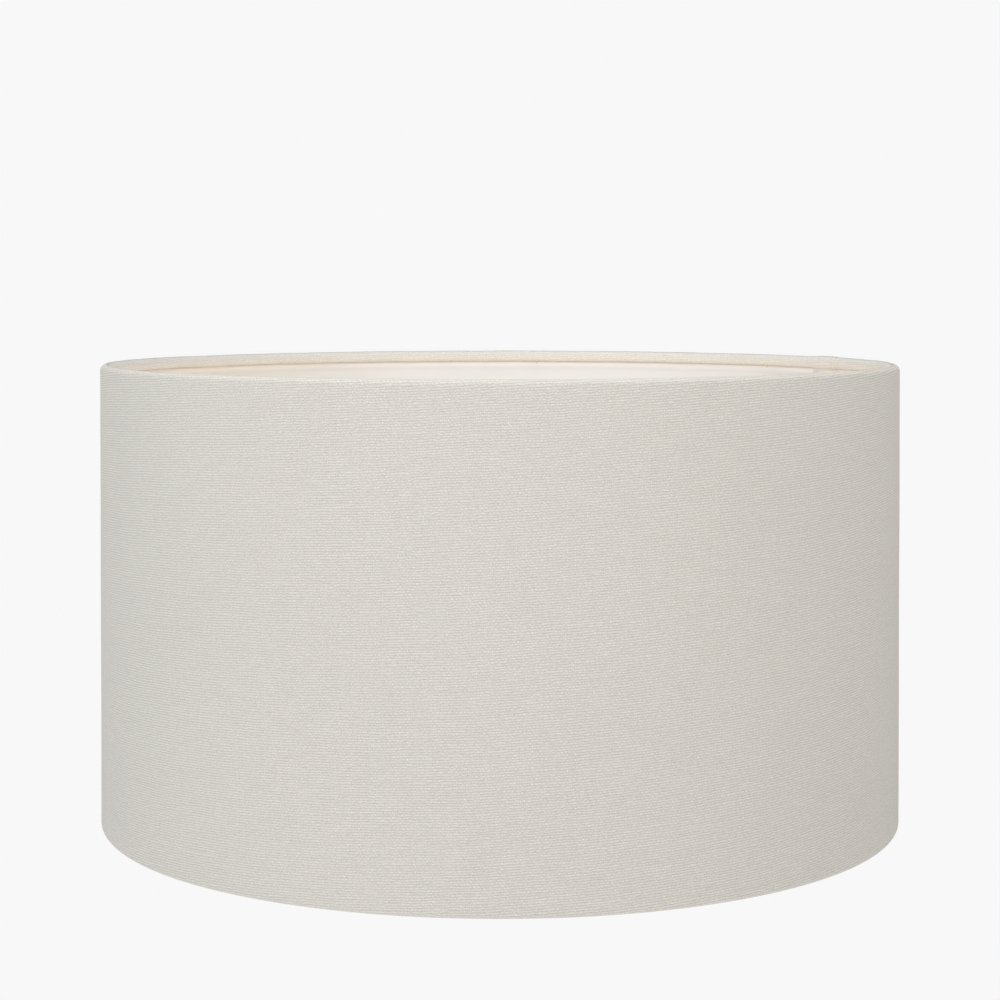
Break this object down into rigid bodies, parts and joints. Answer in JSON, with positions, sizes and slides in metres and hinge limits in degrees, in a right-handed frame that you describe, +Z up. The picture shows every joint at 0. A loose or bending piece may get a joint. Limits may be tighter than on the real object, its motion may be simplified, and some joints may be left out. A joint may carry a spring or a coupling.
{
  "type": "lamp shade",
  "caption": "Lined cylindrical drum shade in coarse cotton with rolled hems over wire rings and a recessed fitter at its foot.",
  "frame": {"origin": "centre of the circle that the shade stands on, under its bottom hem", "axes": "+Z up along the shade's axis; -Y faces the viewer, and the vertical seam starts 26.5 degrees from +X towards +Y"},
  "size_m": [0.35, 0.35, 0.2],
  "materials": {
    "cotton_cloth": "coarse plain weave, putty off-white",
    "liner_plastic": "smooth matt, warm white",
    "adhesive_tape": "thin translucent film",
    "coated_wire": "white powder coat",
    "reducer_plastic": "moulded white, satin"
  },
  "bodies": {
    "shade": {"fabric_cover": "cotton_cloth", "liner_panel": "liner_plastic", "seam_bond_tape": "adhesive_tape", "hem_fold_tape": "adhesive_tape", "top_ring_tape": "adhesive_tape", "bottom_ring_tape": "adhesive_tape", "top_ring": "coated_wire", "bottom_ring": "coated_wire", "spider_arm_1": "coated_wire", "spider_arm_2": "coated_wire", "spider_arm_3": "coated_wire", "fitter_ring": "coated_wire"},
    "reducer": {"reducer_ring": "reducer_plastic"}
  },
  "joints": [
    {"name": "reducer_lift", "type": "slide", "parent": "shade", "child": "reducer", "axis": [0, 0, 1], "range_m": [0, 0.03]}
  ]
}
